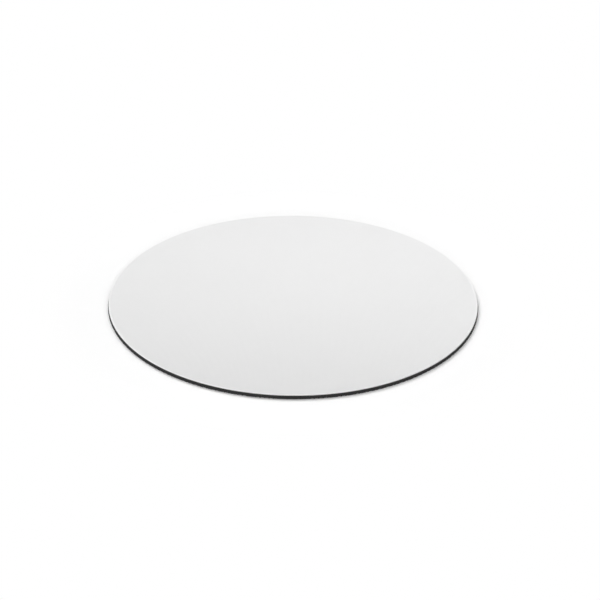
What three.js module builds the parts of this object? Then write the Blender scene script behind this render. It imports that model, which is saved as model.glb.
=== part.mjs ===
// A round mouse pad: cloth top, hot-melt film and foamed-rubber base.
// The three layers are laminated as a sheet, and one stroke of a round die cuts the pad out of it.
// Millimetres, +Z up. The origin is the middle of the underside, which lies on the desk.
import * as THREE from "three";

// The widest place is the foot of the rubber.
const padDiameter = 220;

// The layers, from the desk up.
const rubberThickness = 2.1;
const filmThickness = 0.1;
const clothThickness = 0.4;

// The cut edge. The foam is squeezed under the die and springs back, so the edge leans in towards the top:
// this is how much less radius it has at the cloth's upper face than at its foot.
const edgeLean = 0.45;

// The foam's lower edge is worn a little round, and the die presses the cloth's upper edge over.
const footRounding = 0.25;
const clothEdgeRounding = 0.3;

// How finely the round shapes are faceted.
const segmentsPerTurn = 180;
const segmentsPerRounding = 5;

const padRadius = padDiameter / 2;
const filmBottom = rubberThickness;
const clothBottom = filmBottom + filmThickness;
const padTop = clothBottom + clothThickness;

// A rounding reaches no further than the wall that carries it.
const footRadius = Math.min(footRounding, rubberThickness);
const clothEdgeRadius = Math.min(clothEdgeRounding, clothThickness);

// The cut edge is one straight cone through all layers, from the top of the foot's rounding to the cloth's
// upper face.
function edgeRadiusAt(height) {
  const climbed = (height - footRadius) / (padTop - footRadius);
  return padRadius - edgeLean * climbed;
}

// A quarter circle as profile points (radius, height), from one angle to the other about its own centre.
function quarterRound(centreRadius, centreHeight, rounding, fromAngle, toAngle) {
  const points = [];
  for (let step = 0; step <= segmentsPerRounding; step += 1) {
    const angle = THREE.MathUtils.lerp(fromAngle, toAngle, step / segmentsPerRounding);
    const radius = centreRadius + rounding * Math.cos(angle);
    const height = centreHeight + rounding * Math.sin(angle);
    points.push(new THREE.Vector2(radius, height));
  }
  return points;
}

// A layer is its profile turned about the pad's axis. The profile runs from the axis along the layer's
// lower face, up the edge and back along its upper face.
function turnedLayer(name, bottom, top, edgePoints, material) {
  const profile = [new THREE.Vector2(0, bottom), ...edgePoints, new THREE.Vector2(0, top)];
  const geometry = new THREE.LatheGeometry(profile, segmentsPerTurn);
  geometry.rotateX(Math.PI / 2);
  const layer = new THREE.Mesh(geometry, material);
  layer.name = name;
  return layer;
}

// Black foamed rubber: flat underneath, rounded at its foot, leaning in up to the film.
function rubberBase() {
  const footEdge = quarterRound(padRadius - footRadius, footRadius, footRadius, -Math.PI / 2, 0);
  const topEdge = new THREE.Vector2(edgeRadiusAt(filmBottom), filmBottom);
  const rubber = new THREE.MeshStandardMaterial({ color: 0x2b2b2b, roughness: 0.85, metalness: 0 });
  return turnedLayer("rubber_base", 0, filmBottom, [...footEdge, topEdge], rubber);
}

// The hot-melt film that bonds the cloth to the rubber, cut flush with both.
function adhesiveFilm() {
  const lowerEdge = new THREE.Vector2(edgeRadiusAt(filmBottom), filmBottom);
  const upperEdge = new THREE.Vector2(edgeRadiusAt(clothBottom), clothBottom);
  const film = new THREE.MeshStandardMaterial({ color: 0xcfccc4, roughness: 0.5, metalness: 0 });
  return turnedLayer("adhesive_film", filmBottom, clothBottom, [lowerEdge, upperEdge], film);
}

// White woven cloth, with its upper edge pressed over.
function clothTop() {
  const lowerEdge = new THREE.Vector2(edgeRadiusAt(clothBottom), clothBottom);
  const roundingBottom = padTop - clothEdgeRadius;
  const roundingCentre = edgeRadiusAt(roundingBottom) - clothEdgeRadius;
  const upperEdge = quarterRound(roundingCentre, roundingBottom, clothEdgeRadius, 0, Math.PI / 2);
  const cloth = new THREE.MeshStandardMaterial({ color: 0xe6e6e6, roughness: 0.95, metalness: 0 });
  return turnedLayer("cloth_top", clothBottom, padTop, [lowerEdge, ...upperEdge], cloth);
}

const mousePad = new THREE.Group();
mousePad.add(rubberBase(), adhesiveFilm(), clothTop());

export default mousePad;
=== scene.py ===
# %% [markdown]
# # A round mouse pad, modelled round a fixed frame
#
# The pad is a laminate of three layers: white woven cloth, a thin hot-melt film, and black foamed rubber.
# They are bonded as a sheet, and one stroke of a round die cuts the pad out of it.
#
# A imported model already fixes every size. This lesson builds the finish round it: each layer is modelled
# again as a fine mesh, gets a material that is worked out by maths alone, and lies on a white floor in soft
# studio light. The frame is loaded first, because everything else takes its size and place from it.

# %% Load the fixed frame
import math

import bmesh
import bpy
from mathutils import Matrix, Vector


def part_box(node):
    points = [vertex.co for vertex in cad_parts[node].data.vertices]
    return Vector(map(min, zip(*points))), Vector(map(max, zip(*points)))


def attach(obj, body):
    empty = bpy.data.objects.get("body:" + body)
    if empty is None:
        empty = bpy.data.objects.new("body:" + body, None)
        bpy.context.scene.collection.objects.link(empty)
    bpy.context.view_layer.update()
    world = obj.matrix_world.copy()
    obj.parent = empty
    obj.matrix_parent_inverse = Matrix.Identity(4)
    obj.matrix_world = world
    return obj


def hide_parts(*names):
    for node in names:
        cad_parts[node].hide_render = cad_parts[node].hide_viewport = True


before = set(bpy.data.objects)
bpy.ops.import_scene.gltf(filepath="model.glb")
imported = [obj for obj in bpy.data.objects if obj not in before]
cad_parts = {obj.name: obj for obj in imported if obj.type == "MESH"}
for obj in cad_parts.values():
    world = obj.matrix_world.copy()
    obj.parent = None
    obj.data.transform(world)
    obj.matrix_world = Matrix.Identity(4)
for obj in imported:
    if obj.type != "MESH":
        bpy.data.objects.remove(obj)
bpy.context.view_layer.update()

print("frame nodes:", sorted(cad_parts))

# %% [markdown]
# ## Sizes
#
# Blender works in metres, and the frame's solids lie where the real layers lie. Each layer's box gives its
# thickness and its widest radius, so no size of the pad is typed in twice.
#
# The cut edge leans in a little towards the top, because foam is squeezed under a die and springs back. It
# is one straight cone through all layers. Two radii of the frame's solids give its slope: the foot of the
# rubber, and the lower face of the cloth.

# %% Measure the frame
MM = 0.001

foot_rounding = 0.25 * MM
rubber_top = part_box("rubber_base")[1].z
film_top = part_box("adhesive_film")[1].z
pad_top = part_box("cloth_top")[1].z
pad_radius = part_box("rubber_base")[1].x
cloth_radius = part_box("cloth_top")[1].x
edge_slope = (pad_radius - cloth_radius) / (film_top - foot_rounding)


def edge_radius(height):
    """The radius of the die's cut at a height above the desk."""
    return pad_radius - edge_slope * (height - foot_rounding)


print(f"pad {2 * pad_radius / MM:.1f} mm across and {pad_top / MM:.2f} mm thick")
print(f"the edge leans in {(pad_radius - edge_radius(pad_top)) / MM:.2f} mm")

# %% [markdown]
# ## Working by hand, in code
#
# Modelling tools act on whatever is selected. So every step here starts with nothing selected, and then
# picks faces or edges by a plain rule about their place, just as a person would click on them. Rounding
# leaves places that should be the same a hair apart, so anything nearer than a thousandth of a millimetre
# counts as touching.

# %% Helpers for selecting and editing
touching = 0.001 * MM


def pick_only(piece):
    """Selects one piece and makes it the active one."""
    bpy.ops.object.select_all(action="DESELECT")
    bpy.context.view_layer.objects.active = piece
    piece.select_set(True)


def edit(piece):
    """Opens one piece in edit mode, with nothing selected in it."""
    pick_only(piece)
    bpy.ops.object.mode_set(mode="EDIT")
    bpy.ops.mesh.select_mode(type="EDGE")
    bpy.ops.mesh.select_all(action="DESELECT")


def close_edit():
    bpy.ops.object.mode_set(mode="OBJECT")


def pick_edges(piece, wanted):
    """Selects the edges whose two ends pass a test."""
    mesh = bmesh.from_edit_mesh(piece.data)
    for edge in mesh.edges:
        edge.select_set(wanted(edge.verts[0].co, edge.verts[1].co))
    bmesh.update_edit_mesh(piece.data)


def pick_row(piece, height):
    """Selects the row of edges that lies at a height."""
    pick_edges(piece, lambda a, b: abs(a.z - height) < touching and abs(b.z - height) < touching)


def apply_modifier(piece, modifier):
    pick_only(piece)
    bpy.ops.object.modifier_apply(modifier=modifier.name)


def triangles(piece):
    return sum(len(face.vertices) - 2 for face in piece.data.polygons)


print(f"places nearer than {touching / MM:.3f} mm count as touching")

# %% [markdown]
# ## The die
#
# The real die is a round blade. Here it is a closed solid of everything inside the blade between two
# heights: a cone that hardly narrows, with one rim rounded by a bevel and its flank divided into rows. Each
# layer gets a die of its own. For rubber and cloth the cut is a Boolean intersection, which keeps the
# interior of the layer a clean grid, where a turned shape would have a pole in its middle. For the thin
# film, the die's solid is the layer already.

# %% A die for one layer
edge_steps = 1440


def make_die(low, high, rows, rounded_rim=None, rounding=0.0, rounding_steps=4):
    """A solid cut by the die between two heights. rounded_rim is the height of the rim to be rounded."""
    bpy.ops.object.select_all(action="DESELECT")
    bpy.ops.mesh.primitive_cone_add(
        vertices=edge_steps,
        radius1=edge_radius(low),
        radius2=edge_radius(high),
        depth=high - low,
        end_fill_type="NGON",
        calc_uvs=False,
        location=(0, 0, (low + high) / 2),
    )
    die = bpy.context.object
    bpy.ops.object.transform_apply(location=True, rotation=False, scale=False)
    edit(die)
    if rounded_rim is not None:
        pick_row(die, rounded_rim)
        bpy.ops.mesh.bevel(offset=rounding, segments=rounding_steps, affect="EDGES")
        bpy.ops.mesh.select_all(action="DESELECT")
    pick_edges(die, lambda a, b: abs(a.z - b.z) > (high - low - rounding) / 2)
    bpy.ops.mesh.subdivide(number_cuts=rows - 1)
    close_edit()
    return die


print(f"a step along the die's edge is {math.tau * pad_radius / edge_steps / MM:.2f} mm")

# %% [markdown]
# ## A slab to be cut
#
# Before the cut, each layer is a piece of sheet that is larger than the pad. It starts as a square grid,
# because even squares take an inset or a ripple alike all over. Once its face is shaped, its open border is
# drawn out to the other side and closed with one flat face, which makes it a solid.

# %% Make a slab
spare_cells = 2


def add_grid(name, pitch, height):
    """A square grid that reaches past the pad on all sides."""
    cells = math.ceil(2 * pad_radius / pitch) + spare_cells
    bpy.ops.object.select_all(action="DESELECT")
    bpy.ops.mesh.primitive_grid_add(
        x_subdivisions=cells,
        y_subdivisions=cells,
        size=cells * pitch,
        calc_uvs=False,
        location=(0, 0, height),
    )
    grid = bpy.context.object
    grid.name = name
    bpy.ops.object.transform_apply(location=True, rotation=False, scale=False)
    print(f"{name}: a grid of {cells} by {cells} squares")
    return grid


def close_slab(sheet, rise):
    """Draws the open border of a sheet up or down, and closes it with one flat face."""
    edit(sheet)
    bpy.ops.mesh.select_non_manifold()
    bpy.ops.mesh.extrude_region_move(TRANSFORM_OT_translate={"value": (0, 0, rise)})
    bpy.ops.mesh.edge_face_add()
    bpy.ops.mesh.select_all(action="SELECT")
    bpy.ops.mesh.normals_make_consistent(inside=False)
    close_edit()


# %% [markdown]
# ## One stroke of the die
#
# A Boolean modifier with Intersect keeps what lies inside both solids. Where an edge of the die runs almost
# along an edge of the slab, it leaves slivers thinner than a thousandth of a millimetre. So the corners
# that touch are merged, and whatever then has no width is dissolved. That can leave a stray edge or open a
# tiny hole, and both are mended straight away, because a finished piece is one closed skin. For Fill Holes,
# 0 sides means any number.

# %% Cut a slab with a die
def cut_with(die, slab):
    """Keeps only what lies inside the die, and removes the die."""
    cut = slab.modifiers.new("die", "BOOLEAN")
    cut.operation = "INTERSECT"
    cut.solver = "MANIFOLD"
    cut.object = die
    apply_modifier(slab, cut)
    bpy.data.objects.remove(die)
    edit(slab)
    bpy.ops.mesh.select_all(action="SELECT")
    bpy.ops.mesh.remove_doubles(threshold=touching)
    bpy.ops.mesh.dissolve_degenerate(threshold=touching)
    bpy.ops.mesh.delete_loose(use_verts=True, use_edges=True, use_faces=False)
    bpy.ops.mesh.select_all(action="SELECT")
    bpy.ops.mesh.fill_holes(sides=0)
    bpy.ops.mesh.normals_make_consistent(inside=False)
    close_edit()
    print(f"{slab.name}: {triangles(slab)} triangles after the cut")


# %% [markdown]
# ## Unevenness
#
# Cut foam is a little lumpy, and laid cloth is never quite flat. A bump in the material would not show in
# the outline, so unevenness that is wider than about a millimetre is modelled. A Displace modifier moves
# each vertex along its normal by a soft cloud noise, measured in the piece's own space. A vertex group
# limits it to the part that needs it.

# %% Make a surface uneven
noise_layers = 2


def roughen(piece, name, feature, depth, wanted=None):
    """Moves vertices along their normals by a noise. wanted says which, and without it all of them move."""
    noise = bpy.data.textures.new(name, "CLOUDS")
    noise.noise_scale = feature
    noise.noise_depth = noise_layers
    bumps = piece.modifiers.new(name, "DISPLACE")
    bumps.texture = noise
    bumps.texture_coords = "LOCAL"
    bumps.strength = depth
    if wanted is not None:
        group = piece.vertex_groups.new(name=name)
        group.add([v.index for v in piece.data.vertices if wanted(v.co)], 1.0, "REPLACE")
        bumps.vertex_group = name
    apply_modifier(piece, bumps)
    if wanted is not None:
        piece.vertex_groups.remove(piece.vertex_groups[name])
    print(f"{name}: {depth / MM:.2f} mm deep, about {feature / MM:.1f} mm wide")


# %% [markdown]
# ## Foamed rubber
#
# The underside of such a pad is moulded with a fine waffle of pockets, so that it grips the desk. The
# pockets could be painted as a bump, but a real edge shows where the die cuts through them, so they are
# modelled. Each face of a grid is inset twice: once flat, which leaves the ribs, and once sunk, which gives
# a pocket with sloping sides. The grid then becomes a slab and is cut with the die.
#
# The die's own flank is made uneven first, because cut foam is never quite smooth.

# %% Model the rubber
pocket_pitch = 2.5 * MM
rib_half_width = 0.3 * MM
pocket_slope_width = 0.25 * MM
pocket_depth = 0.25 * MM
die_overrun = 0.02 * MM
slab_overrun = 1.0 * MM
cut_lump_size = 1.5 * MM
cut_lump_depth = 0.12 * MM
flank_inset = 1.0 * MM
rubber_edge_rows = 10

foam_rubber = add_grid("foam_rubber", pocket_pitch, 0)
edit(foam_rubber)
bpy.ops.mesh.select_all(action="SELECT")
bpy.ops.mesh.flip_normals()
bpy.ops.mesh.inset(thickness=rib_half_width, depth=0, use_individual=True)
bpy.ops.mesh.inset(thickness=pocket_slope_width, depth=-pocket_depth, use_individual=True)
close_edit()
close_slab(foam_rubber, rubber_top + slab_overrun)

rubber_die = make_die(-die_overrun, rubber_top, rubber_edge_rows, -die_overrun, foot_rounding)
roughen(
    rubber_die,
    "cut_lumps",
    cut_lump_size,
    cut_lump_depth,
    lambda place: place.xy.length > pad_radius - flank_inset and place.z < rubber_top - touching,
)
cut_with(rubber_die, foam_rubber)

# %% [markdown]
# ## Hot-melt film
#
# The film is only a tenth of a millimetre thick and shows as a hairline between rubber and cloth. The die
# squeezes a little of it out of the cut, so its edge bulges by a hair. A die-cut disc with one row in the
# middle of its flank is enough: that row is picked and pushed outwards.

# %% Model the film
film_bulge = 0.03 * MM
film_edge_rows = 2

bond_film = make_die(rubber_top, film_top, film_edge_rows)
bond_film.name = "bond_film"
film_middle = (rubber_top + film_top) / 2
bulge_scale = 1 + film_bulge / edge_radius(film_middle)
edit(bond_film)
pick_row(bond_film, film_middle)
bpy.ops.transform.resize(value=(bulge_scale, bulge_scale, 1), center_override=(0, 0, film_middle))
close_edit()
print("bond_film:", triangles(bond_film), "triangles")

# %% [markdown]
# ## Woven cloth
#
# The cloth is a plain weave: threads run both ways, and each passes over one thread and under the next. At
# two thirds of a millimetre a thread there are nearly ninety thousand crossings, so on the flat face the
# weave is left to the material. At the cut edge it shows in the outline, so there the mesh itself follows
# it.
#
# One formula serves both. It follows the two threads that cross at a place. Each is round across, and rises
# and dives along its length, the other way round for its neighbour. Whichever of the two stands higher
# there is the one that shows, which draws the leaf-shaped floats of a real plain weave.

# %% The weave as a formula
thread_pitch = 0.65 * MM
roundness_share = 0.8
dive_share = 0.55


def weave_height(x, y):
    """How high the weave stands at a place, from 0 in the holes between threads to 1 on the crowns."""
    wave_x = math.sin(math.pi * x / thread_pitch)
    wave_y = math.sin(math.pi * y / thread_pitch)
    warp = abs(wave_x) ** roundness_share + dive_share * math.copysign(wave_y, wave_x * wave_y)
    weft = abs(wave_y) ** roundness_share - dive_share * math.copysign(wave_x, wave_x * wave_y)
    return max(warp, weft) / (1 + dive_share)


crown = thread_pitch / 2
on_crown, in_hole = weave_height(crown, crown), weave_height(0, 0)
print(f"the weave stands {on_crown:.2f} high on a crown and {in_hole:.2f} in a hole")

# %% [markdown]
# ## The cloth as a sheet
#
# The bonded cloth has faint ripples, a few centimetres wide and no deeper than a hair is thick. They make
# its shine a little uneven when it is seen from low down, and need only a coarse grid. The die presses the
# cloth's upper edge over as it cuts, so this die has a rounded rim. A cloth simulation would add nothing
# here, because the sheet is glued down all over.

# %% Model the cloth
cloth_grid_pitch = 2.0 * MM
ripple_size = 30 * MM
ripple_depth = 0.1 * MM
cloth_edge_rounding = 0.3 * MM
cloth_edge_rows = 3
cloth_rounding_steps = 6

woven_cloth = add_grid("woven_cloth", cloth_grid_pitch, pad_top)
roughen(woven_cloth, "ripples", ripple_size, ripple_depth)
close_slab(woven_cloth, -(pad_top - film_top) - slab_overrun)
cloth_die_top = pad_top + die_overrun
cloth_die = make_die(
    film_top, cloth_die_top, cloth_edge_rows, cloth_die_top, cloth_edge_rounding, cloth_rounding_steps
)
cut_with(cloth_die, woven_cloth)

# %% [markdown]
# ## Ends of the threads
#
# Seen close, the cloth's cut edge is not a clean circle: the end of each thread reaches out a little, and
# the gaps between threads fall back. No modelling tool knows the formula of the weave, so here the vertices
# are moved one by one, outwards where the weave is high and inwards where it is low. The reach fades in
# over the rounded edge.

# %% Let the edge follow the threads
thread_end_reach = 0.05 * MM
middle_height = 0.5
moved = 0

for vertex in woven_cloth.data.vertices:
    place = vertex.co
    if place.xy.length > edge_radius(pad_top) - cloth_edge_rounding:
        outwards = Vector((place.x, place.y, 0)).normalized()
        below_top = (pad_top - place.z) / cloth_edge_rounding
        reach = thread_end_reach * min(max(below_top, 0), 1)
        vertex.co = place + outwards * reach * (weave_height(place.x, place.y) - middle_height)
        moved += 1
print(f"{moved} vertices follow the threads")

# %% [markdown]
# ## Smooth and sharp
#
# A mesh this fine should not show its faces, but the rims of ribs and pockets, and the line where flank and
# face meet, have to stay crisp. Shading that is smooth up to an angle does both at once, without splitting
# the mesh or marking edges by hand.

# %% Shade the layers
sharp_angle = math.radians(50)

for layer in (foam_rubber, bond_film, woven_cloth):
    pick_only(layer)
    bpy.ops.object.shade_smooth_by_angle(angle=sharp_angle)
print(f"edges of more than {math.degrees(sharp_angle):.0f} degrees stay sharp")

# %% [markdown]
# ## Maps for programs that read pictures
#
# The finishes below are formulas of the place in space. Other programs want them as pictures, and a UV map
# says which part of the picture each face reads. Blender can unfold a piece by itself, but then a hidden
# face gets as much room as a visible one. Laid out one by one, the visible faces fill the picture, and the
# hidden ones take a small disc beside them.
#
# The cloth lies as seen from above, with its edge folded out flat round it. Its scale gives each thread a
# whole number of pixels, and the underside's scale does so for each pocket, so neither pattern blurs into
# stripes. The rubber's cut edge is unrolled and stacked in strips.

# %% Where each face goes on the picture
map_name = "OFBake"
picture_width = 1024
pixels_per_thread, pixels_per_pocket = 3, 9
cloth_scale = pixels_per_thread / thread_pitch / picture_width
underside_scale = pixels_per_pocket / pocket_pitch / picture_width

# Places and sizes on the picture, whose sides are 1 long.
cloth_middle = Vector((0.5, 0.5))
cloth_hidden_middle, cloth_hidden_radius = Vector((0.0845, 0.0845)), 0.08
rubber_middle = Vector((0.395, 0.395))
rubber_hidden_middle, rubber_hidden_radius = Vector((0.89, 0.11)), 0.1
strip_count = 6
strip_margin = 0.01
first_strip, strip_spacing, strip_height = 0.79, 0.035, 0.028

# A face counts as facing up or down where its normal rises or falls by more than this.
facing_limit = 0.6


def from_below(place):
    """The place as seen from below, where left and right change sides."""
    return Vector((-place.x, place.y))


def cloth_spot(place, face):
    """Where a place on the cloth goes on the picture."""
    if face.normal.z < -facing_limit:
        return cloth_hidden_middle + from_below(place) * (cloth_hidden_radius / pad_radius)
    flat = place.xy
    if flat.length > edge_radius(pad_top) - cloth_edge_rounding:
        flat = flat + flat.normalized() * max(pad_top - place.z, 0)
    return cloth_middle + flat * cloth_scale


def turn_share(place):
    """How far round the pad a place lies, as a share of a full turn."""
    return math.atan2(place.y, place.x) / math.tau % 1


def rubber_spot(place, face):
    """Where a place on the rubber goes on the picture."""
    if face.normal.z > facing_limit:
        return rubber_hidden_middle + place.xy * (rubber_hidden_radius / pad_radius)
    if face.normal.z < -facing_limit or face.center.xy.length < pad_radius - flank_inset:
        return rubber_middle + from_below(place) * underside_scale
    strip = int(turn_share(face.center) * strip_count)
    along = (turn_share(place) * strip_count - strip + strip_count / 2) % strip_count - strip_count / 2
    across = first_strip + strip * strip_spacing + place.z / rubber_top * strip_height
    return Vector((strip_margin + along * (1 - 2 * strip_margin), across))


print(f"a pixel of the cloth's map is {1 / cloth_scale / picture_width / MM:.3f} mm")

# %% [markdown]
# ## From formulas to a map
#
# A UV map holds one place for each corner of each face, so two faces that touch on the piece can part ways
# on the picture. That happens where the flank starts a new strip. One loop over all corners serves both
# pieces, and is told which formula to follow. The film is too thin to need a map of its own.

# %% Lay out the maps
def lay_out(piece, spot):
    """Gives a piece a map. spot turns a corner's place, and its face, into a place on the picture."""
    corners = piece.data.uv_layers.new(name=map_name).uv
    for face in piece.data.polygons:
        for corner in face.loop_indices:
            place = piece.data.vertices[piece.data.loops[corner].vertex_index].co
            corners[corner].vector = spot(place, face)
    print(f"{piece.name}: {len(corners)} corners laid out")


lay_out(woven_cloth, cloth_spot)
lay_out(foam_rubber, rubber_spot)

# %% [markdown]
# ## Maths on wires
#
# A procedural material is a formula drawn with nodes. Writing `height * 0.5 + noise` is easier to read than
# a page of node links, so one small class wraps a socket and lets Python's operators add the Math nodes.
# With them, a helper that leads from one formula over to another is a single line.

# %% A wire of a node tree
class Wire:
    """One output socket. Operators on it add Math nodes, with the wire on their left or on their right."""

    def __init__(self, finish, socket):
        self.finish = finish
        self.socket = socket

    def maths(self, operation, *others):
        return self.finish.maths(operation, self, *others)

    def __add__(self, other):
        return self.maths("ADD", other)

    def __sub__(self, other):
        return self.maths("SUBTRACT", other)

    def __rsub__(self, other):
        return self.finish.maths("SUBTRACT", other, self)

    def __mul__(self, other):
        return self.maths("MULTIPLY", other)

    def __truediv__(self, other):
        return self.maths("DIVIDE", other)

    def __rtruediv__(self, other):
        return self.finish.maths("DIVIDE", other, self)

    def __pow__(self, other):
        return self.maths("POWER", other)

    def __rpow__(self, other):
        return self.finish.maths("POWER", other, self)

    def __gt__(self, other):
        return self.maths("GREATER_THAN", other)

    def __abs__(self):
        return self.maths("ABSOLUTE")

    __radd__ = __add__
    __rmul__ = __mul__


def between(start, end, share):
    """Goes from start to end as share goes from 0 to 1. Each is a number or a wire."""
    return start + (end - start) * share


# %% [markdown]
# ## A finish
#
# Every finish of the pad is made in the same way: it asks for the place on the piece, works out a colour
# and a height from it, and ends in a Principled shader, whose normal comes from a Bump node that reads the
# height. A second class holds the node tree and does these steps. Places are Object coordinates in metres,
# so a noise can be asked for by the real size of its features, and a grain keeps its size on every piece.

# %% A finish under construction
# A noise adds up layers, each of them twice as fine as the one before.
few_layers, some_layers, many_layers = 2.0, 3.0, 4.0


def grey(level):
    return (level, level, level, 1)


class Finish:
    """A material or another owner of nodes, and the ways to add nodes to it."""

    def __init__(self, name, tree_owner=None):
        self.owner = tree_owner or bpy.data.materials.new(name)
        self.owner.use_nodes = True
        self.tree = self.owner.node_tree
        self.tree.nodes.clear()

    def node(self, kind, settings=None, sockets=None, out=0):
        """Adds a node. Its settings come first, then each named socket gets a value or a wire."""
        node = self.tree.nodes.new(kind)
        for name, value in (settings or {}).items():
            setattr(node, name, value)
        for name, value in (sockets or {}).items():
            if isinstance(value, Wire):
                self.tree.links.new(value.socket, node.inputs[name])
            else:
                node.inputs[name].default_value = value
        return Wire(self, node.outputs[out]) if node.outputs else node

    def maths(self, operation, *values):
        """Adds a Math node. Each value is a number or a wire."""
        return self.node("ShaderNodeMath", {"operation": operation}, dict(enumerate(values)))

    def place(self):
        """The place on the piece, in metres, as three wires."""
        where = self.node("ShaderNodeTexCoord", out="Object")
        return [self.node("ShaderNodeSeparateXYZ", sockets={"Vector": where}, out=axis) for axis in range(3)]

    def joined(self, x, y, z):
        return self.node("ShaderNodeCombineXYZ", sockets={"X": x, "Y": y, "Z": z})

    def noise(self, feature, place=None, layers=few_layers):
        """A soft noise whose features are about this size in metres, from 0 to 1."""
        where = place or self.node("ShaderNodeTexCoord", out="Object")
        sockets = {"Vector": where, "Scale": 1 / feature, "Detail": layers}
        return self.node("ShaderNodeTexNoise", sockets=sockets)

    def cells(self, spacing, place):
        """How far it is to the nearest of many scattered points, in units of their spacing."""
        return self.node("ShaderNodeTexVoronoi", sockets={"Vector": place, "Scale": 1 / spacing})

    def mix(self, factor, colour_a, colour_b):
        sockets = {0: factor, 6: colour_a, 7: colour_b}
        return self.node("ShaderNodeMix", {"data_type": "RGBA"}, sockets, out=2)

    def step(self, wire, low, high):
        """Rises smoothly from 0 at low to 1 at high."""
        sockets = {"Value": wire, "From Min": low, "From Max": high}
        return self.node("ShaderNodeMapRange", {"interpolation_type": "SMOOTHSTEP"}, sockets)

    def bumped(self, height, relief):
        """The normal of a surface that stands this high. relief is what a height of 1 means, in metres."""
        return self.node("ShaderNodeBump", sockets={"Strength": 1.0, "Distance": relief, "Height": height})

    def surface(self, shader):
        self.node("ShaderNodeOutputMaterial", sockets={"Surface": shader})
        return self.owner

    def put_on(self, piece, sockets):
        """Ends the finish in a Principled shader, and gives it to a piece."""
        shader = self.node("ShaderNodeBsdfPrincipled", sockets=sockets)
        piece.data.materials.clear()
        piece.data.materials.append(self.surface(shader))
        print(f"{piece.name}: a finish of {len(self.tree.nodes)} nodes")


# %% [markdown]
# ## Threads as a finish
#
# The formula of the weave is written once more, this time on wires. It also tells which of the two threads
# lies on top, and that steers a noise that is drawn out along the thread: a fine one gives the bundle of
# filaments that a polyester thread is made of, and a broad one gives slubs, where a thread is thicker for a
# stretch. A picture of cloth could be laid over the pad instead, but it would blur in a close-up and repeat
# from afar, which formulas do not.

# %% The weave on wires
def weave_wires(x, y):
    """Where a warp thread lies on top, and how high the weave stands."""
    wave_x = (x * (math.pi / thread_pitch)).maths("SINE")
    wave_y = (y * (math.pi / thread_pitch)).maths("SINE")
    warp = abs(wave_x) ** roundness_share + wave_x.maths("SIGN") * wave_y * dive_share
    weft = abs(wave_y) ** roundness_share - wave_y.maths("SIGN") * wave_x * dive_share
    return warp > weft, warp.maths("MAXIMUM", weft) / (1 + dive_share)


def along_threads(finish, x, y, warp_on_top, width, length, seed):
    """A noise that is drawn out along whichever thread lies on top."""
    on_warp = finish.noise(1.0, finish.joined(x / width, y / length, seed))
    on_weft = finish.noise(1.0, finish.joined(x / length, y / width, -seed))
    return between(on_weft, on_warp, warp_on_top)


# %% [markdown]
# ## The cloth's finish
#
# White polyester is matte, with a faint sheen where its filaments catch the light at a low angle. Paper is
# matte and white too, so four things make this cloth. The weave gives it relief, and a little painted shade
# in the gaps between threads. Filaments give each thread its grain. Slubs draw faint streaks both ways. And
# here and there a nep, a tiny knot of fibres, stands out. The whole face also has a very soft mottle.
#
# At the cut edge the die has pressed the cloth down, and its ends fray. So the last stretch before the edge
# is paler, partly from the fraying fibres and partly as a painted highlight where the edge catches the
# light.

# %% Sizes and shades of the cloth
weave_relief = 0.11 * MM
filament_width, filament_length, filament_seed = 0.045 * MM, 0.9 * MM, 3.0
slub_width, slub_length, slub_seed = 0.5 * MM, 14 * MM, 7.0
fine_mottle, broad_mottle = 3 * MM, 18 * MM
fine_mottle_share, broad_mottle_share = 0.4, 0.6
nep_spacing, nep_radius = 40 * MM, 0.8 * MM
nep_core_share = 1 / 3
fray_and_highlight_width, fray_inset = 1.2 * MM, 0.1 * MM
fray_size = 0.12 * MM

# How pale the cloth is, and how much each thing adds to that or takes from it.
# The cut edge's paleness is partly fraying fibres and partly a painted highlight.
cloth_paleness, fray_and_highlight_paleness = 0.79, 0.9
# The holes between threads are darkened with painted shade.
painted_hollow_shade, filament_shade, slub_shade = 0.1, 0.03, 0.02
mottle_shade, nep_shade, fray_shade = 0.012, 0.07, 0.05

# How high each thing stands, as a share of the weave's relief.
filament_rise_share, slub_rise_share, nep_rise_share, fray_rise_share = 0.12, 0.2, 0.3, 0.4

hole_roughness, crown_roughness = 0.92, 0.84
cloth_gloss = 0.25
cloth_sheen, sheen_roughness = 0.08, 0.4
print(f"about {weave_relief / MM:.2f} mm from a hole of the weave up to a crown")
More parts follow.
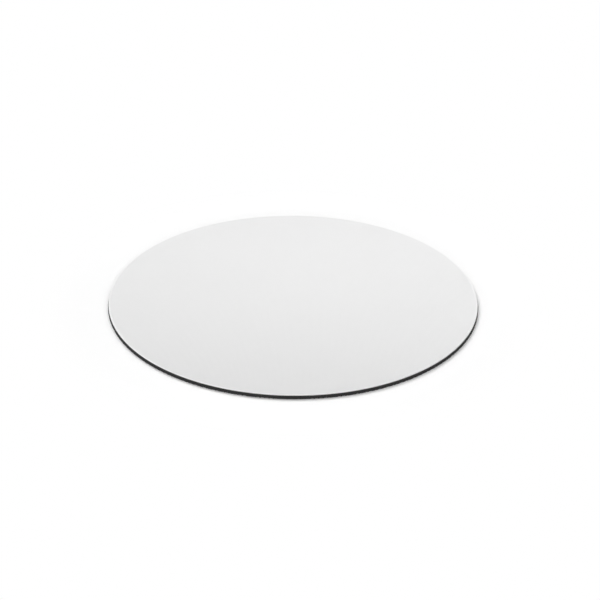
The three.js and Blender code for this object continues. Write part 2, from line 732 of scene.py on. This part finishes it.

# %% [markdown]
# ## The cloth's formula
#
# Shade and height are added up from the same things, so a hole darkened by painted shade is a low one too,
# and a knot that stands out is seen by its shade as well. A mask by radius leads over to the cut edge and
# its painted highlight. Because every thing comes in by a plain sum, one number makes it stronger or weaker
# and leaves the others alone.

# %% Finish of the cloth
def cloth_finish(piece):
    finish = Finish("white_woven_polyester")
    x, y, _ = finish.place()
    warp_on_top, weave = weave_wires(x, y)
    filaments = along_threads(finish, x, y, warp_on_top, filament_width, filament_length, filament_seed)
    slubs = along_threads(finish, x, y, warp_on_top, slub_width, slub_length, slub_seed)
    mottle = finish.noise(broad_mottle) * broad_mottle_share + finish.noise(fine_mottle) * fine_mottle_share
    nep_edge = nep_radius / nep_spacing
    to_nep = finish.cells(nep_spacing, finish.joined(x, y, 0.0))
    neps = 1 - finish.step(to_nep, nep_edge * nep_core_share, nep_edge)

    radius = (x * x + y * y) ** 0.5
    fray_end = edge_radius(pad_top) - fray_inset
    fray_and_highlight = finish.step(radius, fray_end - fray_and_highlight_width, fray_end)
    fibres = finish.noise(fray_size, layers=many_layers)

    # The holes between threads are darkened with painted shade.
    hollow = (1 - weave) ** 2
    shade = cloth_paleness - hollow * painted_hollow_shade - neps * nep_shade
    shade = shade + filaments * filament_shade + slubs * slub_shade + mottle * mottle_shade
    # Towards the cut edge the colour turns paler: partly fraying fibres, partly a painted highlight.
    level = between(shade, fray_and_highlight_paleness + fibres * fray_shade, fray_and_highlight)
    height = weave + filaments * filament_rise_share + slubs * slub_rise_share
    height = height + neps * nep_rise_share + fray_and_highlight * fibres * fray_rise_share
    finish.put_on(
        piece,
        {
            "Base Color": finish.joined(level, level, level),
            "Roughness": between(hole_roughness, crown_roughness, weave),
            "Specular IOR Level": cloth_gloss,
            "Sheen Weight": cloth_sheen,
            "Sheen Roughness": sheen_roughness,
            "Normal": finish.bumped(height, weave_relief),
        },
    )


cloth_finish(woven_cloth)

# %% [markdown]
# ## The film's finish
#
# Hot-melt film is a waxy plastic, nearly white where it is pure. The die smears it along the cut in small
# beads, and crumbs of the black foam stick to it. So its colour goes from wax to crumbs in fine patches,
# and the wax between them is smoother and stands a little higher. Two noises are enough for a hairline: one
# for the beads, and a finer one, cut off sharply, for the crumbs.

# %% Finish of the film
bead_size = 0.3 * MM
crumb_size = 0.12 * MM
crumbs_begin, crumbs_full = 0.56, 0.66
crumb_sink_share = 0.5
film_relief = 0.03 * MM
clear_wax = (0.66, 0.65, 0.62, 1)
cloudy_wax = (0.5, 0.49, 0.46, 1)
foam_crumbs = (0.06, 0.06, 0.06, 1)
wax_roughness, crumb_roughness = 0.4, 0.8


def film_finish(piece):
    finish = Finish("waxy_hot_melt")
    beads = finish.noise(bead_size, layers=some_layers)
    crumbs = finish.step(finish.noise(crumb_size, layers=some_layers), crumbs_begin, crumbs_full)
    wax = finish.mix(beads, cloudy_wax, clear_wax)
    finish.put_on(
        piece,
        {
            "Base Color": finish.mix(crumbs, wax, foam_crumbs),
            "Roughness": between(wax_roughness, crumb_roughness, crumbs),
            "Normal": finish.bumped(beads - crumbs * crumb_sink_share, film_relief),
        },
    )


film_finish(bond_film)

# %% [markdown]
# ## The rubber's finish
#
# The same foam has two faces. Where the mould touched it, it has a closed skin with a fine grain. Where the
# die cut it, the bubbles are opened: the face is peppered with tiny pits, it is rougher, and it looks a
# shade greyer because each pit wall catches light. The pits are darkened with painted shade. A mask by
# radius tells the two apart, so one material does for the whole piece and the two faces meet without a seam.

# %% Sizes and shades of the rubber
large_cell, small_cell = 0.42 * MM, 0.16 * MM
cell_cluster = 1.2 * MM
grain_size = 0.2 * MM
blotch_size = 9 * MM
drag_size = 0.45 * MM
drag_stretch_share = 0.12
pit_relief = 0.09 * MM
skin_inset, skin_blend = 0.5 * MM, 0.3 * MM

# A pit is deepest up to the first share of its cell's size from its middle, and ends at the second.
large_pit_shares = (0.08, 0.4)
small_pit_shares = (0.1, 0.5)

# Large cells come in clusters. They begin where a noise passes the first value, and are full at the second.
clusters_begin, clusters_full = 0.35, 0.6

# How pale the skin and the cut face are, and how much each thing adds to that or takes from it.
skin_paleness, skin_blotch_shade, skin_grain_shade = 0.017, 0.007, 0.007
# The pits of the cut face are darkened with painted shade.
cut_paleness, cut_grain_shade, drag_shade, painted_pit_shade = 0.018, 0.012, 0.006, 0.011

# How high each thing stands, as a share of the depth of the pits.
skin_grain_share, skin_blotch_share, cut_grain_share, drag_share = 0.5, 0.3, 0.35, 0.5
small_cell_share = 0.45

# How rough the skin and the cut face are, and how much the blotches and the grain add to that.
skin_roughness, blotch_roughness = 0.62, 0.1
cut_roughness, grain_roughness = 0.86, 0.08
rubber_gloss = 0.35
print(f"opened cells about {large_cell / MM:.2f} and {small_cell / MM:.2f} mm wide")

# %% [markdown]
# ## The rubber's formula
#
# A Voronoi texture scatters points and tells how far each place is from the nearest one. Near a point lies
# the middle of a bubble, and far from it a wall, which is how foam looks when it is cut. Two sizes of cells
# are laid over each other. The large ones come in clusters, because even pits all over would look like a
# sponge. Faint marks show how the die dragged on the cut.

# %% Finish of the rubber
def opened_cells(finish, place, spacing, pit_shares):
    """Pits where the cut has opened the foam's bubbles: 1 in a bubble, 0 on the walls between them."""
    return 1 - finish.step(finish.cells(spacing, place), *pit_shares)


def rubber_finish(piece):
    finish = Finish("black_foamed_rubber")
    x, y, z = finish.place()
    place = finish.joined(x, y, z)
    radius = (x * x + y * y) ** 0.5
    skin_end = edge_radius(rubber_top) - skin_inset
    cut_face = finish.step(radius, skin_end, skin_end + skin_blend)

    clusters = finish.step(finish.noise(cell_cluster), clusters_begin, clusters_full)
    large_pits = opened_cells(finish, place, large_cell, large_pit_shares) * clusters
    small_pits = opened_cells(finish, place, small_cell, small_pit_shares)
    pits = large_pits + small_pits * small_cell_share
    grain = finish.noise(grain_size, layers=many_layers)
    blotches = finish.noise(blotch_size, layers=some_layers)
    drag_marks = finish.noise(drag_size, finish.joined(x, y, z * drag_stretch_share), some_layers)

    skin_shade = skin_paleness + blotches * skin_blotch_shade + grain * skin_grain_shade
    # The pits are darkened with painted shade.
    cut_shade = cut_paleness + grain * cut_grain_shade + drag_marks * drag_shade - pits * painted_pit_shade
    level = between(skin_shade, cut_shade, cut_face)
    skin_height = grain * skin_grain_share + blotches * skin_blotch_share
    cut_height = grain * cut_grain_share + drag_marks * drag_share - pits
    rough_skin = skin_roughness + blotches * blotch_roughness
    rough_cut = cut_roughness + grain * grain_roughness
    finish.put_on(
        piece,
        {
            "Base Color": finish.joined(level, level, level),
            "Roughness": between(rough_skin, rough_cut, cut_face),
            "Specular IOR Level": rubber_gloss,
            "Normal": finish.bumped(between(skin_height, cut_height, cut_face), pit_relief),
        },
    )


rubber_finish(foam_rubber)

# %% [markdown]
# ## Tie the layers to the frame
#
# Each new layer rides on the frame's one body, and hides the plain solid that it stands for.

# %% Tie the layers to the frame
for layer, node, slot in (
    (foam_rubber, "rubber_base", "rubber"),
    (bond_film, "adhesive_film", "adhesive"),
    (woven_cloth, "cloth_top", "cloth"),
):
    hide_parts(node)
    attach(layer, "root")

cloth_width = 2 * edge_radius(film_top)
math.pi * edge_radius(film_top) ** 2
print(f"the cloth is cut {cloth_width / MM:.1f} mm across")

# %% [markdown]
# ## White floor
#
# A product photo on white has no visible floor, only the pad's contact shadow. The floor here is a plain
# pale plane. Near the pad it is matte white with a faint glow, which lifts it to the edge of white and
# leaves the shadow below it. Further out it turns into plain white. Both tricks are for the rays of the
# camera, and for reflections: to the light that falls on the pad, the floor stays an ordinary pale floor.
#
# A floor brighter than white would swallow the thin shadow at the pad's foot, and a darker one would show
# as a grey patch. Less light falls in front than at the back. So the glow only adds what the lamps leave
# short of white, by a simple formula of how much light reaches each place.

# %% Floor
floor_size = 6.0
floor_paleness = 0.95
white = 1.0
shadow_zone = (120 * MM, 150 * MM)
light_middle, light_to_right, light_to_back, light_falloff = 1.027, 0.16, 0.53, 3.7


def seen_directly(finish):
    """1 for rays that show the background: those of the camera, and of mirrors and glass."""
    seen = finish.node("ShaderNodeLightPath", out="Is Camera Ray")
    for kind in ("Is Glossy Ray", "Is Transmission Ray"):
        seen = seen.maths("MAXIMUM", finish.node("ShaderNodeLightPath", out=kind))
    return seen


def floor_finish():
    finish = Finish("pale_studio_floor")
    x, y, _ = finish.place()
    far_out = finish.step((x * x + y * y) ** 0.5, *shadow_zone)
    seen = seen_directly(finish)
    light = light_middle + x * light_to_right + y * light_to_back - y * y * light_falloff
    missing = (white - light * floor_paleness).maths("MAXIMUM", 0.0)
    matte = finish.node("ShaderNodeBsdfDiffuse", sockets={"Color": grey(floor_paleness)})
    glow = finish.node("ShaderNodeEmission", sockets={"Color": grey(white), "Strength": seen * missing})
    near = finish.node("ShaderNodeAddShader", sockets={0: matte, 1: glow})
    plain = finish.node("ShaderNodeEmission", sockets={"Color": grey(white), "Strength": 1.0})
    return finish.surface(finish.node("ShaderNodeMixShader", sockets={0: seen * far_out, 1: near, 2: plain}))


bpy.ops.object.select_all(action="DESELECT")
bpy.ops.mesh.primitive_plane_add(size=floor_size, location=(0, 0, 0))
floor = bpy.context.object
floor.name = "floor"
floor.data.materials.append(floor_finish())
print(f"the floor is {floor_size} m wide")

# %% [markdown]
# ## The world behind the floor
#
# Round a real table in a white studio everything is white, and some of its light falls on the table from
# all sides. The world does both: it shows as plain white, and it lights the pad only weakly and evenly, so
# that the lamps still shape it. A picture of a real studio could light it too, but it would bring colours
# of its own.

# %% World
sky_level = 0.15

world = bpy.data.worlds.new("studio")
bpy.context.scene.world = world
sky = Finish("studio", world)
backdrop = sky.node("ShaderNodeBackground", sockets={"Color": grey(white), "Strength": 1.0})
soft_light = sky.node("ShaderNodeBackground", sockets={"Color": grey(white), "Strength": sky_level})
shown = sky.node("ShaderNodeMixShader", sockets={0: seen_directly(sky), 1: soft_light, 2: backdrop})
sky.node("ShaderNodeOutputWorld", sockets={"Surface": shown})
print("the world lights the pad at a level of", sky_level)

# %% [markdown]
# ## Soft studio light
#
# In the photo the cloth is brightest at the back right and darkest at the front, and a soft thin shadow
# lies all along the front of the pad, a little wider on the right. No single lamp gives both. A wide key
# hangs high up behind the pad and a little to the left, and draws the shadow. A narrow strip hangs low over
# the pad and reaches far out past its right end, near enough for its light to fall off across the cloth. A
# weak fill near the floor, in front, gives the black edge some tone. Their places and powers were found by
# comparing the render's tones with the photo's.

# %% Lamps
def soft_box(name, place, aim, size, power):
    """An area lamp at a place, turned to another place. size is its length and its width."""
    bpy.ops.object.select_all(action="DESELECT")
    bpy.ops.object.light_add(type="AREA", location=place)
    lamp = bpy.context.object
    lamp.name = name
    lamp.rotation_euler = (Vector(aim) - Vector(place)).to_track_quat("-Z", "Y").to_euler()
    lamp.data.shape = "RECTANGLE"
    lamp.data.size, lamp.data.size_y = size
    lamp.data.energy = power
    lamp.visible_camera = False
    print(f"{name}: {power} W, {Vector(place).length:.2f} m from the middle of the pad")


# Metres and watts.
pad_middle = (0, 0, 0)
key_place, key_size, key_power = (-0.65, 1.38, 1.4), (1.8, 0.7), 25.8
strip_place, strip_size, strip_power = (0.235, 0.066, 0.345), (1.0, 0.2), 1.34
strip_aim = (0.235, 0, 0)
fill_place, fill_size, fill_power = (-0.25, -0.98, 0.16), (0.9, 0.3), 4.0

soft_box("key", key_place, pad_middle, key_size, key_power)
soft_box("strip", strip_place, strip_aim, strip_size, strip_power)
soft_box("front_fill", fill_place, pad_middle, fill_size, fill_power)

# %% [markdown]
# ## Camera
#
# A long lens from a metre and a third away, looking down by 29 degrees. Its height, distance and slight
# roll were found by laying the pad's two rims over the outline in the photo. The Standard view shows a
# colour about as it is written, where the usual one would turn the white floor grey.

# %% Camera
look_down = math.radians(29.08)
camera_distance = 1340.4 * MM
camera_roll = math.radians(0.54)
aim_right = 4.07 * MM
aim_up = 0.395 * MM
focal_length = 135

backwards = Vector((0, -math.cos(look_down), math.sin(look_down)))
upwards = Vector((0, math.sin(look_down), math.cos(look_down)))
aim = Vector((aim_right, 0, pad_top / 2)) + upwards * aim_up
bpy.ops.object.select_all(action="DESELECT")
bpy.ops.object.camera_add(location=aim + backwards * camera_distance)
camera = bpy.context.object
look = backwards.to_track_quat("Z", "Y").to_matrix() @ Matrix.Rotation(camera_roll, 3, "Z")
camera.rotation_euler = look.to_euler()
camera.data.lens = focal_length
bpy.context.scene.camera = camera
bpy.context.scene.view_settings.view_transform = "Standard"
print(f"the camera stands {camera.location.z:.3f} m above the floor")
